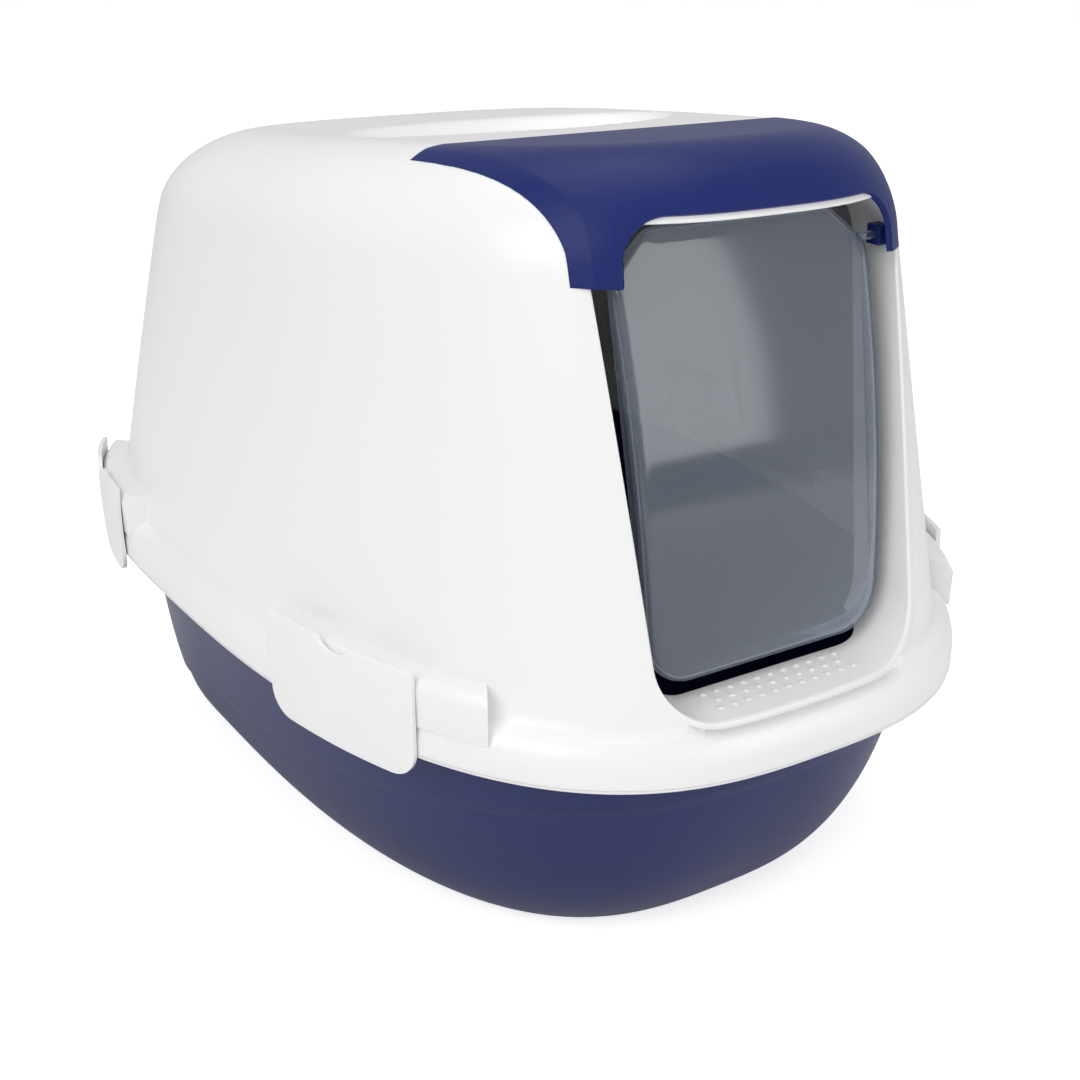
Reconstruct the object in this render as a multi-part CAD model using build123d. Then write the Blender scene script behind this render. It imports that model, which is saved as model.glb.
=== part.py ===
from build123d import *
from math import atan2, cos, degrees, pi, radians, sin, sqrt, tan
import os

# A hooded litter tray for a cat: an egg shaped base pan, a hood that sits over its rim,
# a snap-on visor over the entry, a hanging swing door, four clips that hinge on the pan
# and hold the hood down, and an odour filter under a dished recess in the roof.
# Millimetres. +Z is up, the entry faces -Y, and the origin is on the floor under the
# middle of the rim.
os.makedirs("parts", exist_ok=True)

# Overall size and the plan of the rim, widest behind the middle
LENGTH = 560.0
HALF_WIDTH = 208.0
WIDEST_Y = 36.0
TAPER = 0.0003
FRONT_POWER = 2.76
REAR_POWER = 3.18
PLAN_ARCS = 8
ARC_STEPS = 4

# Heights
RIM_Z = 132.0
WALL_FOOT_Z = 158.0
ROOF_Z = 397.0
ROOF_SLOPE = 0.079

# Base pan
PAN_WALL = 3.0
PAN_FLOOR = 3.2
PAN_FLOOR_SIDE_INSET = 50.0
PAN_FLOOR_FRONT_INSET = 92.0
PAN_FLOOR_REAR_INSET = 35.0
PAN_FLOOR_WIDEST_INSET = 143.0
PAN_FLOOR_POWER = 2.96
PAN_BELLY_POWER = 1.66
PAN_BELLY_TOP_Z = 127.0
BELLY_STEPS = 8
PAN_BELLY_INSET = 23.0
PAN_BAND_PROUD = 1.4
PAN_BAND_FRONT_Z = 114.0
PAN_BAND_REAR_Z = 4.0
PAN_RIM_TOP_Z = 140.0
PAN_RIM_THICKNESS = 3.0
PAN_RIM_OUTER_INSET = 4.0
PAN_RIM_INNER_INSET = 15.0
PAN_RIM_LIP = 6.0
PAN_RIM_LIP_WALL = 2.4

# Hood shell
HOOD_WALL = 2.8
SIDE_FOOT_INSET = 9.5
FRONT_FOOT_INSET = 13.0
REAR_FOOT_INSET = 14.5
SIDE_DRAFT = 0.187
FRONT_DRAFT = 0.203
REAR_DRAFT = 0.152
SIDE_ROOF_RADIUS = 46.0
FRONT_ROOF_RADIUS = 42.0
REAR_ROOF_RADIUS = 65.0
SKIRT_BAND = 9.0
FLANGE_SHARES = (0.0, 0.35, 0.65, 0.88)
ROOF_TURNS = (14, 28, 42, 55, 67, 78, 90)
SEAT_RIB_COUNT = 12
SEAT_RIB_WIDTH = 3.0
SEAT_RIB_REACH = 9.0
SEAT_RIB_HEIGHT = 12.0
ROOF_FRONT_Y = FRONT_FOOT_INSET + FRONT_DRAFT * (ROOF_Z - WALL_FOOT_Z) - LENGTH / 2
ROOF_Y = ROOF_FRONT_Y + 116.5

# Entry opening, its reveal and the sill
ENTRY_HALF_WIDTH = 88.0
ENTRY_FOOT_HALF_WIDTH = 76.0
ENTRY_FOOT_RADIUS = 30.0
ENTRY_TOP_DROP = 22.0
ENTRY_TOP_Z = ROOF_Z - ENTRY_TOP_DROP
ENTRY_TOP_RADIUS = 22.0
ENTRY_DEPTH = 98.5
ENTRY_REAR_Y = ROOF_FRONT_Y + ENTRY_DEPTH
SILL_Z = 157.0
SILL_DEPTH = 47.0
SILL_REAR_Y = SILL_DEPTH - LENGTH / 2
SILL_DROP = 9.0
REVEAL_DEPTH = 24.0
REVEAL_WALL = 2.6
DOT_RADIUS = 1.9
DOT_HEIGHT = 0.9
DOT_PITCH = 8.2
DOT_ROWS = 3
DOT_COLUMNS = 11

# Roof recess
RECESS_Y = 5.0
RECESS_HALF_LENGTH = 104.0
RECESS_HALF_WIDTH = 60.0
RECESS_FLOOR_HALF_LENGTH = 84.0
RECESS_FLOOR_HALF_WIDTH = 42.0
RECESS_DEPTH = 20.0
RECESS_FLOOR_Z = ROOF_Z - RECESS_DEPTH
VENT_SLOTS = 9
VENT_SLOT_LENGTH = 34.0
VENT_SLOT_WIDTH = 5.0
VENT_SLOT_PITCH = 12.0
SNAP_SLOT_WIDTH = 9.0
SNAP_TAB_THICKNESS = 2.4
SNAP_TAB_RISE = 3.0
SNAP_CLEARANCE = 0.3

# Visor
VISOR_WALL = 3.0
VISOR_GAP = 0.3
VISOR_PROUD = 0.4
VISOR_FRONT_INSET = 21.5
VISOR_LENGTH = 99.0
VISOR_FRONT_Y = ROOF_FRONT_Y + VISOR_FRONT_INSET
VISOR_REAR_Y = VISOR_FRONT_Y + VISOR_LENGTH
VISOR_REAR_HALF_WIDTH = 116.0
VISOR_FRONT_HALF_WIDTH = 94.0
VISOR_DROP = 47.0
VISOR_FOOT_Z = ROOF_Z - VISOR_DROP
DOOR_GAP = 2.5
ARCH_DROP = 18.0
ARCH_TOP_Z = ROOF_Z - ARCH_DROP
ARCH_RADIUS = 22.0
PEG_RADIUS = 3.0
PEG_CLEARANCE = 0.05
PEG_TIP = 3.0
PEG_STOCK = 80.0
PEG_X = VISOR_FRONT_HALF_WIDTH - 10.0
PEG_Y = VISOR_REAR_Y - 26.0

# Swing door
PIVOT_INSET = 18.5
PIVOT_DROP = 42.0
PIVOT_Y = ROOF_FRONT_Y + PIVOT_INSET
PIVOT_Z = ROOF_Z - PIVOT_DROP
PIN_RADIUS = 2.2
PIN_CLEARANCE = 0.06
PIN_REACH = 6.5
DOOR_TILT = 11.3
DOOR_WALL = 1.8
DOOR_BOW = 8.0
DOOR_RIM = 2.9
DOOR_SETBACK = 2.6
DOOR_SHOULDER_RADIUS = 9.0
DOOR_HALF_WIDTH = 74.0
DOOR_FOOT_NARROWING = 4.0
DOOR_TOP_NARROWING = 22.0
DOOR_FOOT_HALF_WIDTH = DOOR_HALF_WIDTH - DOOR_FOOT_NARROWING
DOOR_TOP_HALF_WIDTH = DOOR_HALF_WIDTH - DOOR_TOP_NARROWING
DOOR_ABOVE_PIVOT = 16.0
DOOR_FOOT_GAP = 5.0
DOOR_BELOW_PIVOT = PIVOT_Z - SILL_Z - DOOR_FOOT_GAP
ARCH_HALF_WIDTH = DOOR_HALF_WIDTH + DOOR_GAP
DOOR_FOOT_RADIUS = 24.0
PIN_ROOT = 6.0
SOCKET_WALL = 2.6
SOCKET_DEPTH = 9.0

# Hood clips, each hinged on two lugs under the pan's rim: name, polar angle on the plan, and
# how far the hood's block runs on past the clip's front end
CLIP_STATIONS = (("front", -41.5, 40.0), ("rear", 33.0, 7.0))
CLIP_LENGTH = 102.0
CLIP_WALL = 2.8
CLIP_GAP = 1.2
CLIP_FOOT_Z = 121.0
CLIP_TOP_Z = 178.0
CLIP_CORNER = 14.0
CLIP_PIVOT_Z = 126.0
CLIP_PIVOT_INSET = 4.0
CLIP_PIN_RADIUS = 2.0
CLIP_KNUCKLE_RADIUS = 3.2
CLIP_ARM_SPACING = 16.0
CLIP_ARM_WIDTH = 5.0
CLIP_SIDE_CLEARANCE = 0.3
LUG_WIDTH = 4.0
LUG_DEPTH = 11.0
CLIP_HOOK = 2.6
CLIP_HOOK_SLOPE = 58.0
CLIP_HOOK_CLEARANCE = 0.5
FINGER_NOTCH_RADIUS = 15.0
FINGER_NOTCH_DEPTH = 6.0
BOSS_TOP_Z = 174.0
BOSS_FOOT_Z = 150.0
BOSS_REAR_REACH = 7.0
BOSS_CHAMFER = 3.0
BOSS_CLEARANCE = 1.0

# Odour filter under the recess
FILTER_HALF_LENGTH = 67.0
FILTER_HALF_WIDTH = 21.5
FILTER_THICKNESS = 9.0
FILTER_CLEARANCE = 0.5
HOLDER_WALL = 2.0
HOLDER_BARS = 9
SNAP_X = FILTER_HALF_LENGTH + FILTER_CLEARANCE + HOLDER_WALL / 2


# Plan curves

def plan_point(angle, half_width, front, rear, widest, front_power, rear_power):
    """A point of the egg shaped plan: a superellipse whose halves meet at the widest line."""
    c = cos(angle)
    s = sin(angle)
    reach = widest - front if s < 0 else rear - widest
    power = front_power if s < 0 else rear_power
    radius = (abs(c / half_width) ** power + abs(s / reach) ** power) ** (-1 / power)
    y = widest + radius * s
    return radius * c * (1 + TAPER * (y - widest)), y


def plan_wire(z, half_width, front, rear, widest=WIDEST_Y, front_power=FRONT_POWER,
              rear_power=REAR_POWER, slope=0.0):
    """The plan as a closed smooth curve at height z, on a plane that falls towards the rear."""
    def at(turn):
        x, y = plan_point(2 * pi * turn, half_width, front, rear, widest, front_power, rear_power)
        return Vector(x, y, z - slope * (y - ROOF_Y))
    edges = []
    for i in range(PLAN_ARCS):
        points = [at((i + j / ARC_STEPS) / PLAN_ARCS) for j in range(ARC_STEPS + 1)]
        ends = [at((i + j) / PLAN_ARCS + 0.0005) - at((i + j) / PLAN_ARCS - 0.0005)
                for j in (0, 1)]
        edges.append(Edge.make_spline(points, tangents=ends))
    return Wire(edges)


def rim_wire(z, inset):
    """The rim's plan at height z, drawn in by inset all round."""
    return plan_wire(z, HALF_WIDTH - inset, inset - LENGTH / 2, LENGTH / 2 - inset)


def stack(wires):
    return Solid.make_loft(wires, True)


def rim_station(angle, inset=0.0):
    """Point and outward direction of the rim where the plan's polar angle is given."""
    def at(a):
        return plan_point(radians(a), HALF_WIDTH - inset, inset - LENGTH / 2, LENGTH / 2 - inset,
                          WIDEST_Y, FRONT_POWER, REAR_POWER)
    x, y = at(angle)
    x0, y0 = at(angle - 0.5)
    x1, y1 = at(angle + 0.5)
    return x, y, degrees(atan2(x0 - x1, y1 - y0))


def mirror_x(shape):
    return shape.mirror(Plane.YZ)


# Hood surfaces

HOOD_HEIGHT = ROOF_Z - WALL_FOOT_Z


def hood_wire(height, inset):
    """The hood's wall at a height above its foot, with its skin moved in by inset."""
    def rounding(radius):
        rise = height - (HOOD_HEIGHT - radius)
        if rise <= 0:
            return 0.0
        left = radius - inset
        rise = min(rise / left, 1.0)
        return left * (1 - sqrt(1 - rise * rise))
    half_width = HALF_WIDTH - SIDE_FOOT_INSET - SIDE_DRAFT * height
    front = -LENGTH / 2 + FRONT_FOOT_INSET + FRONT_DRAFT * height
    rear = LENGTH / 2 - REAR_FOOT_INSET - REAR_DRAFT * height
    slope = ROOF_SLOPE * max(height / HOOD_HEIGHT, 0.0) ** 2
    return plan_wire(WALL_FOOT_Z + height,
                     half_width - inset - rounding(SIDE_ROOF_RADIUS),
                     front + inset + rounding(FRONT_ROOF_RADIUS),
                     rear - inset - rounding(REAR_ROOF_RADIUS), slope=slope)


def flange_wire(share, inset):
    """The rounded flange between the skirt, share 0, and the wall's foot, share 1."""
    top = RIM_Z + SKIRT_BAND
    draw = 1 - sqrt(1 - share * share)
    return plan_wire(top + (WALL_FOOT_Z - top - inset) * share,
                     HALF_WIDTH - SIDE_FOOT_INSET * draw - inset,
                     FRONT_FOOT_INSET * draw + inset - LENGTH / 2,
                     LENGTH / 2 - REAR_FOOT_INSET * draw - inset)


def crown_wires(inset):
    """The wall's top and the rounded roof."""
    top = HOOD_HEIGHT - inset
    shoulder = HOOD_HEIGHT - REAR_ROOF_RADIUS
    wires = [hood_wire(shoulder, inset)]
    for turn in ROOF_TURNS:
        wires.append(hood_wire(shoulder + (top - shoulder) * sin(radians(turn)), inset))
    return wires


def crown(inset):
    return stack(crown_wires(inset))


def hood_body(inset):
    """The whole hood as a solid body whose skin lies inset under the outer one."""
    foot = RIM_Z - 1 if inset > 0 else RIM_Z
    wires = [rim_wire(foot, inset)]
    for share in FLANGE_SHARES:
        wires.append(flange_wire(share, inset))
    return stack(wires + [hood_wire(0.0, inset)] + crown_wires(inset))


def entry_prism(grow, y_front, y_rear):
    """The entry's outline, wider by grow, as a prism along Y."""
    foot = SILL_Z - grow
    top = ENTRY_TOP_Z + grow
    half = ENTRY_HALF_WIDTH + grow
    half_foot = ENTRY_FOOT_HALF_WIDTH + grow
    outline = Polyline((-half_foot, foot), (half_foot, foot), (half, VISOR_FOOT_Z),
                       (half, top), (-half, top), (-half, VISOR_FOOT_Z), close=True)
    face = make_face(outline)
    feet = face.vertices().sort_by(Axis.Y)[:2]
    face = fillet(feet, ENTRY_FOOT_RADIUS + grow)
    tops = face.vertices().sort_by(Axis.Y)[-2:]
    face = fillet(tops, ENTRY_TOP_RADIUS + grow)
    placed = Plane(origin=(0, y_front, 0), x_dir=(1, 0, 0), z_dir=(0, -1, 0)) * face
    return extrude(placed, -(y_rear - y_front))


def visor_plan(grow, z_low, z_high):
    """The visor's outline seen from above, wider by grow, as an upright prism."""
    spread = (VISOR_REAR_HALF_WIDTH - VISOR_FRONT_HALF_WIDTH) / (VISOR_REAR_Y - VISOR_FRONT_Y)
    rear = VISOR_REAR_Y + grow
    half_rear = VISOR_REAR_HALF_WIDTH + grow + spread * grow
    half_front = VISOR_FRONT_HALF_WIDTH + grow
    front = -LENGTH / 2
    outline = Polyline((-half_rear, rear), (-half_front, VISOR_FRONT_Y), (-half_front, front),
                       (half_front, front), (half_front, VISOR_FRONT_Y), (half_rear, rear),
                       close=True)
    return extrude(Pos(0, 0, z_low) * make_face(outline), z_high - z_low)


def recess_bowl(grow):
    """The dished recess as a body, larger by grow."""
    def ellipse(z, along, across):
        edge = Edge.make_ellipse(along + grow, across + grow,
                                 plane=Plane((0, RECESS_Y, z)))
        return Wire([edge])
    lip_z = ROOF_Z - ROOF_SLOPE * (RECESS_Y - ROOF_Y)
    rise = lip_z + 12 - RECESS_FLOOR_Z
    flare = (lip_z + 12 - RECESS_FLOOR_Z) / (lip_z - RECESS_FLOOR_Z)
    along = RECESS_FLOOR_HALF_LENGTH + (RECESS_HALF_LENGTH - RECESS_FLOOR_HALF_LENGTH) * flare
    across = RECESS_FLOOR_HALF_WIDTH + (RECESS_HALF_WIDTH - RECESS_FLOOR_HALF_WIDTH) * flare
    return stack([ellipse(RECESS_FLOOR_Z - grow, RECESS_FLOOR_HALF_LENGTH, RECESS_FLOOR_HALF_WIDTH),
                  ellipse(RECESS_FLOOR_Z + rise, along, across)])


def half_space(y, z_front_face, angle):
    """Everything behind a plane that leans back by angle from the point (y, z)."""
    big = 2 * LENGTH
    block = Box(big, big, big, align=(Align.CENTER, Align.MIN, Align.CENTER))
    return Pos(0, y, z_front_face) * Rot(-angle, 0, 0) * block


# Base pan

def pan_body(inset, floor_z, top_z, top_inset):
    """The pan from a flat floor out to its mouth: a superellipse arc in section."""
    wires = []
    for i in range(BELLY_STEPS + 1):
        share = (i / BELLY_STEPS) ** 1.5
        swell = (1 - (1 - share) ** PAN_BELLY_POWER) ** (1 / PAN_BELLY_POWER)
        belly_inset = PAN_BELLY_INSET + inset

        def blend(low, high):
            return low + (high - low) * swell
        wires.append(plan_wire(
            floor_z + (PAN_BELLY_TOP_Z - floor_z) * share,
            blend(HALF_WIDTH - PAN_FLOOR_SIDE_INSET - inset, HALF_WIDTH - belly_inset),
            blend(PAN_FLOOR_FRONT_INSET + inset - LENGTH / 2, belly_inset - LENGTH / 2),
            blend(LENGTH / 2 - PAN_FLOOR_REAR_INSET - inset, LENGTH / 2 - belly_inset),
            blend(LENGTH / 2 - PAN_FLOOR_WIDEST_INSET, WIDEST_Y),
            blend(PAN_FLOOR_POWER, FRONT_POWER),
            blend(PAN_FLOOR_POWER, REAR_POWER)))
    return stack(wires + [rim_wire(top_z, top_inset)])


def clip_frame(angle):
    """Frame at a clip: x points out of the rim, y along it, z up, origin on the floor."""
    x, y, turn = rim_station(angle)
    return Pos(x, y, 0) * Rot(0, 0, turn)


def clip_block(angle, front, rear, z_low, z_high, round_foot=0.0):
    """A block across the rim at a clip, from front to rear along it, to cut out a stretch."""
    depth = 60
    block = Pos(0, -front, z_low) * Box(depth, front + rear, z_high - z_low,
                                        align=(Align.CENTER, Align.MIN, Align.MIN))
    if round_foot:
        feet = block.edges().filter_by(Axis.X).sort_by(Axis.Z)[:2]
        block = fillet(feet, round_foot)
    return clip_frame(angle) * block


def clip_lugs(angle, hung):
    """A clip's two lugs with their pin bores, hung from the pan's rim."""
    eye = CLIP_PIN_RADIUS + PIN_CLEARANCE
    lugs = []
    for side in (-1, 1):
        middle = side * (CLIP_ARM_SPACING + CLIP_ARM_WIDTH / 2 + CLIP_SIDE_CLEARANCE
                         + LUG_WIDTH / 2)
        frame = clip_frame(angle) * Pos(-CLIP_PIVOT_INSET, middle, CLIP_PIVOT_Z)
        stem = Box(LUG_DEPTH, LUG_WIDTH, PAN_RIM_TOP_Z - 1 - CLIP_PIVOT_Z,
                   align=(Align.MAX, Align.CENTER, Align.MIN))
        neck = Pos(CLIP_KNUCKLE_RADIUS, 0, 0) * Box(
            LUG_DEPTH, LUG_WIDTH, CLIP_KNUCKLE_RADIUS + 1.6,
            align=(Align.MAX, Align.CENTER, Align.MIN))
        round_eye = Rot(90, 0, 0) * Cylinder(CLIP_KNUCKLE_RADIUS, LUG_WIDTH)
        bore = Rot(90, 0, 0) * Cylinder(eye, LUG_WIDTH * 2)
        lugs.append((frame * stem & hung) + frame * (neck + round_eye - bore) - frame * bore)
    return lugs


def base_pan():
    belly = pan_body(0.0, 0.0, PAN_RIM_TOP_Z, PAN_RIM_INNER_INSET - PAN_RIM_THICKNESS)
    lean = degrees(atan2(PAN_BAND_FRONT_Z - PAN_BAND_REAR_Z, LENGTH))
    below = Pos(0, -LENGTH / 2, PAN_BAND_FRONT_Z) * Rot(-lean, 0, 0) * Box(
        2 * LENGTH, 3 * LENGTH, LENGTH, align=(Align.CENTER, Align.CENTER, Align.MAX))
    below = below - pan_body(PAN_BAND_PROUD, 0.0, PAN_BELLY_TOP_Z + 1, PAN_BELLY_INSET + 1)
    lip_z = PAN_RIM_TOP_Z - PAN_RIM_LIP
    lip_inner = PAN_RIM_OUTER_INSET + PAN_RIM_LIP_WALL
    ring = stack([rim_wire(lip_z, PAN_RIM_OUTER_INSET),
                  rim_wire(PAN_RIM_TOP_Z, PAN_RIM_OUTER_INSET)])
    groove = stack([rim_wire(lip_z - 1, lip_inner),
                    rim_wire(PAN_RIM_TOP_Z - PAN_RIM_THICKNESS, lip_inner)])
    hung = stack([rim_wire(CLIP_PIVOT_Z - 1, PAN_RIM_OUTER_INSET + 0.4),
                  rim_wire(PAN_RIM_TOP_Z, PAN_RIM_OUTER_INSET + 0.4)])
    lugs = []
    for name, angle, run in CLIP_STATIONS:
        for lug in clip_lugs(angle, hung):
            lugs += [lug, mirror_x(lug)]
    rim = (ring - groove) + lugs
    pan = (belly - below) + rim
    return pan - pan_body(PAN_WALL + PAN_BAND_PROUD, PAN_FLOOR, PAN_RIM_TOP_Z + 1,
                          PAN_RIM_INNER_INSET)


# Hood

def clip_boss(angle, run):
    """The raised block on the hood that a clip's hook reaches over."""
    rise = BOSS_CHAMFER * tan(radians(CLIP_HOOK_SLOPE))
    face = BOSS_CLEARANCE - CLIP_GAP
    block = stack([rim_wire(BOSS_FOOT_Z, face), rim_wire(BOSS_TOP_Z - rise, face),
                   rim_wire(BOSS_TOP_Z, face + BOSS_CHAMFER)])
    return block & clip_block(angle, CLIP_LENGTH / 2 + run, CLIP_LENGTH / 2 + BOSS_REAR_REACH,
                              BOSS_FOOT_Z, BOSS_TOP_Z + 1)


def seat_ribs():
    """Thin ribs under the flange that stand on the pan's rim."""
    ribs = []
    for i in range(SEAT_RIB_COUNT):
        x, y, turn = rim_station(360 / SEAT_RIB_COUNT * (i + 0.5))
        ribs.append(Pos(x, y, PAN_RIM_TOP_Z) * Rot(0, 0, turn) * Pos(1 - HOOD_WALL, 0, 0) * Box(
            SEAT_RIB_REACH, SEAT_RIB_WIDTH, SEAT_RIB_HEIGHT,
            align=(Align.MAX, Align.CENTER, Align.MIN)))
    skin = hood_body(HOOD_WALL / 2)
    return [rib & skin for rib in ribs]


def sill_dots():
    """Staggered rows of small round studs that keep paws from slipping."""
    dots = []
    for row in range(DOT_ROWS):
        count = DOT_COLUMNS - (row % 2)
        y = SILL_REAR_Y - DOT_PITCH * (0.7 + row * 0.87)
        for i in range(count):
            x = (i - (count - 1) / 2) * DOT_PITCH
            dots.append(Pos(x, y, SILL_Z + DOT_HEIGHT / 2 - 0.2)
                        * Cylinder(DOT_RADIUS, DOT_HEIGHT + 0.4))
    return dots


def roof_slots():
    """Vent slots in the recess floor and the two slots that the filter holder snaps into."""
    cuts = []
    for i in range(VENT_SLOTS):
        x = (i - (VENT_SLOTS - 1) / 2) * VENT_SLOT_PITCH
        cuts.append(Pos(x, RECESS_Y, RECESS_FLOOR_Z) * extrude(
            SlotOverall(VENT_SLOT_LENGTH, VENT_SLOT_WIDTH, rotation=90), 12, both=True))
    for side in (-1, 1):
        cuts.append(Pos(side * SNAP_X, RECESS_Y, RECESS_FLOOR_Z) * Box(
            SNAP_TAB_THICKNESS + 2 * SNAP_CLEARANCE, SNAP_SLOT_WIDTH, 24))
    return cuts


def hood():
    seat_drop = VISOR_WALL - VISOR_PROUD + VISOR_GAP
    outer = hood_body(0.0)
    bosses = []
    for name, angle, run in CLIP_STATIONS:
        boss = clip_boss(angle, run)
        bosses += [boss, mirror_x(boss)]
    seat = visor_plan(VISOR_GAP, VISOR_FOOT_Z, ROOF_Z + 40) - crown(seat_drop)
    body = outer + bosses - seat - recess_bowl(0.0)
    backing = visor_plan(VISOR_GAP + HOOD_WALL, VISOR_FOOT_Z - HOOD_WALL, ROOF_Z + 40)
    backing = backing - crown(seat_drop + HOOD_WALL)
    cavity = hood_body(HOOD_WALL) - backing - recess_bowl(HOOD_WALL)
    shell = body - cavity
    front = -LENGTH / 2 - 10
    reveal_end = half_space(PIVOT_Y + REVEAL_DEPTH, PIVOT_Z, DOOR_TILT)
    sill_end = Pos(0, SILL_REAR_Y, SILL_Z + 2) * Box(
        LENGTH, LENGTH, 40, align=(Align.CENTER, Align.MIN, Align.MAX))
    frame = (entry_prism(REVEAL_WALL, front, ENTRY_REAR_Y) & hood_body(HOOD_WALL / 2))
    frame = frame - reveal_end - sill_end - seat
    sill_lip = Pos(0, SILL_REAR_Y, SILL_Z) * Box(
        2 * (ENTRY_FOOT_HALF_WIDTH - ENTRY_FOOT_RADIUS), REVEAL_WALL, SILL_DROP,
        align=(Align.CENTER, Align.MAX, Align.MAX))
    shell = shell + [frame, sill_lip]
    shell = shell - entry_prism(0.0, front, ENTRY_REAR_Y)
    shell = shell + seat_ribs()
    shell = shell + sill_dots()
    pegs = [Pos(x, PEG_Y, ROOF_Z) * Cylinder(PEG_RADIUS + PEG_CLEARANCE, PEG_STOCK)
            for x in (-PEG_X, PEG_X)]
    return shell - (roof_slots() + pegs)


# Visor

def visor():
    sheet = crown(-VISOR_PROUD) - crown(VISOR_WALL - VISOR_PROUD)
    sheet = sheet & visor_plan(0.0, VISOR_FOOT_Z, ROOF_Z + 40)
    front = -LENGTH / 2 - 10
    outline = Polyline(
        (-ARCH_HALF_WIDTH, VISOR_FOOT_Z - 20), (ARCH_HALF_WIDTH, VISOR_FOOT_Z - 20),
        (ARCH_HALF_WIDTH, ARCH_TOP_Z), (-ARCH_HALF_WIDTH, ARCH_TOP_Z), close=True)
    arch_face = make_face(outline)
    arch_face = fillet(arch_face.vertices().sort_by(Axis.Y)[-2:], ARCH_RADIUS)
    plane = Plane(origin=(0, front, 0), x_dir=(1, 0, 0), z_dir=(0, -1, 0))
    sheet = sheet - extrude(plane * arch_face, front - ENTRY_REAR_Y)
    eye = PIN_RADIUS + PIN_CLEARANCE
    reach = eye + SOCKET_WALL
    under = crown(0.0)
    for side in (-1, 1):
        block = Pos(side * ARCH_HALF_WIDTH, PIVOT_Y + reach, VISOR_FOOT_Z) * Box(
            SOCKET_DEPTH, 60, PIVOT_Z + reach - VISOR_FOOT_Z,
            align=(Align.MIN if side > 0 else Align.MAX, Align.MAX, Align.MIN))
        bore = Pos(side * ARCH_HALF_WIDTH, PIVOT_Y, PIVOT_Z) * Rot(0, 90, 0) * Cylinder(
            eye, 2 * (SOCKET_DEPTH - 1.5))
        sheet = sheet + (block & under) - bore
    for x in (-PEG_X, PEG_X):
        peg = Pos(x, PEG_Y, ROOF_Z) * Cylinder(PEG_RADIUS, PEG_STOCK)
        deep = crown(VISOR_WALL - VISOR_PROUD + VISOR_GAP + HOOD_WALL + PEG_TIP)
        sheet = sheet + ((peg & crown(1.0)) - deep)
    return sheet


# Swing door

def door_outline(shrink):
    """The door seen from the front, about its pivot line, drawn in by shrink."""
    top = DOOR_ABOVE_PIVOT - shrink
    foot = -DOOR_BELOW_PIVOT + shrink
    outline = Polyline((-DOOR_TOP_HALF_WIDTH + shrink, top), (DOOR_TOP_HALF_WIDTH - shrink, top),
                       (DOOR_HALF_WIDTH - shrink, -PIN_RADIUS), (DOOR_FOOT_HALF_WIDTH - shrink, foot),
                       (-DOOR_FOOT_HALF_WIDTH + shrink, foot),
                       (-DOOR_HALF_WIDTH + shrink, -PIN_RADIUS), close=True)
    face = make_face(outline)
    face = fillet(face.vertices().sort_by(Axis.Y)[:2], DOOR_FOOT_RADIUS - shrink)
    return fillet(face.vertices().sort_by(Axis.Y)[-4:], DOOR_SHOULDER_RADIUS)


def swing_door():
    plane = Plane(origin=(0, 0, 0), x_dir=(1, 0, 0), z_dir=(0, -1, 0))
    half = (DOOR_ABOVE_PIVOT + DOOR_BELOW_PIVOT) / 2
    bow_radius = (half ** 2 + DOOR_BOW ** 2) / (2 * DOOR_BOW)
    middle_z = (DOOR_ABOVE_PIVOT - DOOR_BELOW_PIVOT) / 2
    front_y = -DOOR_BOW - DOOR_RIM + DOOR_SETBACK
    bow = Pos(0, front_y + bow_radius, middle_z) * Rot(0, 90, 0)
    wide = 4 * DOOR_HALF_WIDTH
    rear = DOOR_SETBACK
    outer = extrude(plane * door_outline(0.0), 2 * DOOR_BOW, both=True)
    inner = extrude(plane * door_outline(DOOR_WALL), 2 * DOOR_BOW, both=True)
    behind = Pos(0, rear, 0) * Box(wide, wide, 2 * wide,
                                   align=(Align.CENTER, Align.MIN, Align.CENTER))
    outer = (outer & (bow * Cylinder(bow_radius, wide))) - behind
    inner = inner & (bow * Cylinder(bow_radius - DOOR_WALL, wide))
    door = outer - inner
    for side in (-1, 1):
        pin = Pos(side * (DOOR_HALF_WIDTH - PIN_ROOT), 0, 0) * Rot(0, side * 90, 0) * Cylinder(
            PIN_RADIUS, PIN_ROOT + ARCH_HALF_WIDTH - DOOR_HALF_WIDTH + PIN_REACH,
            align=(Align.CENTER, Align.CENTER, Align.MIN))
        door = door + pin
    return Pos(0, PIVOT_Y, PIVOT_Z) * Rot(-DOOR_TILT, 0, 0) * door


# Clips

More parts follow.
